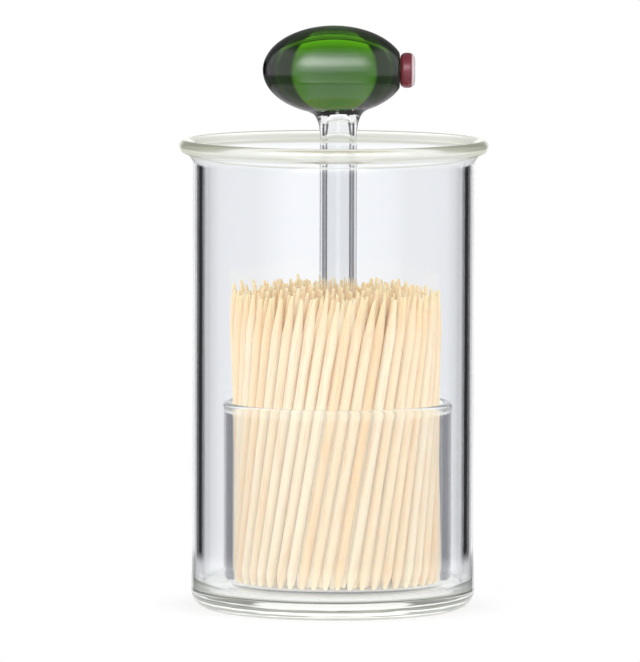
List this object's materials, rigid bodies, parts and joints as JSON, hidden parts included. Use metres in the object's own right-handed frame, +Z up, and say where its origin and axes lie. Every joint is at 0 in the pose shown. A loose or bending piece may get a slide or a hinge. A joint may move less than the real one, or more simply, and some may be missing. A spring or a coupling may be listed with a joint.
{
  "type": "toothpick holder",
  "caption": "Clear glass jar with a lift-out inner cup of wooden toothpicks, raised by a glass stem with a green olive knob and red bead.",
  "frame": {"origin": "centre of the jar's flat underside", "axes": "+Z up along the jar axis, +X towards the red bead end of the olive, -Y towards the viewer of the picture"},
  "size_m": [0.0694, 0.0694, 0.1307],
  "materials": {
    "clear_glass": "clear, fire-polished",
    "olive_glass": "solid green glass, polished",
    "red_glass": "opaque red glass, polished",
    "wood": "plain turned birch, unfinished"
  },
  "bodies": {
    "jar": {"outer_jar": "clear_glass"},
    "insert": {"inner_cup": "clear_glass", "stem_tube": "clear_glass", "olive_knob": "olive_glass", "stuffing_bead": "red_glass", "inner_toothpicks": "wood", "toothpick_01": "wood", "toothpick_03": "wood", "toothpick_04": "wood", "toothpick_05": "wood", "toothpick_06": "wood", "toothpick_07": "wood", "toothpick_08": "wood", "toothpick_09": "wood", "toothpick_10": "wood", "toothpick_11": "wood", "toothpick_12": "wood", "toothpick_14": "wood", "toothpick_15": "wood", "toothpick_16": "wood", "toothpick_17": "wood", "toothpick_18": "wood", "toothpick_19": "wood", "toothpick_20": "wood", "toothpick_21": "wood", "toothpick_22": "wood", "toothpick_23": "wood", "toothpick_25": "wood", "toothpick_26": "wood", "toothpick_27": "wood", "toothpick_28": "wood", "toothpick_29": "wood", "toothpick_30": "wood", "toothpick_31": "wood", "toothpick_32": "wood", "toothpick_33": "wood", "toothpick_34": "wood", "toothpick_36": "wood", "toothpick_37": "wood", "toothpick_38": "wood", "toothpick_39": "wood", "toothpick_40": "wood", "toothpick_41": "wood", "toothpick_42": "wood", "toothpick_43": "wood", "toothpick_44": "wood", "toothpick_45": "wood", "toothpick_47": "wood", "toothpick_48": "wood", "toothpick_49": "wood", "toothpick_50": "wood", "toothpick_51": "wood", "toothpick_52": "wood", "toothpick_53": "wood", "toothpick_54": "wood"},
    "loose_toothpick_02": {"toothpick_02": "wood"},
    "loose_toothpick_13": {"toothpick_13": "wood"},
    "loose_toothpick_24": {"toothpick_24": "wood"},
    "loose_toothpick_35": {"toothpick_35": "wood"},
    "loose_toothpick_46": {"toothpick_46": "wood"}
  },
  "joints": [
    {"name": "insert_lift", "type": "slide", "parent": "jar", "child": "insert", "axis": [0, 0, 1], "range_m": [0, 0.105]},
    {"name": "toothpick_02_draw", "type": "slide", "parent": "insert", "child": "loose_toothpick_02", "axis": [0.1533, 0.0518, 0.9868], "range_m": [0, 0.1]},
    {"name": "toothpick_13_draw", "type": "slide", "parent": "insert", "child": "loose_toothpick_13", "axis": [-0.0141, 0.1681, 0.9857], "range_m": [0, 0.1]},
    {"name": "toothpick_24_draw", "type": "slide", "parent": "insert", "child": "loose_toothpick_24", "axis": [-0.1694, 0.0409, 0.9847], "range_m": [0, 0.1]},
    {"name": "toothpick_35_draw", "type": "slide", "parent": "insert", "child": "loose_toothpick_35", "axis": [-0.0932, -0.142, 0.9855], "range_m": [0, 0.1]},
    {"name": "toothpick_46_draw", "type": "slide", "parent": "insert", "child": "loose_toothpick_46", "axis": [0.1041, -0.1283, 0.9863], "range_m": [0, 0.1]}
  ]
}
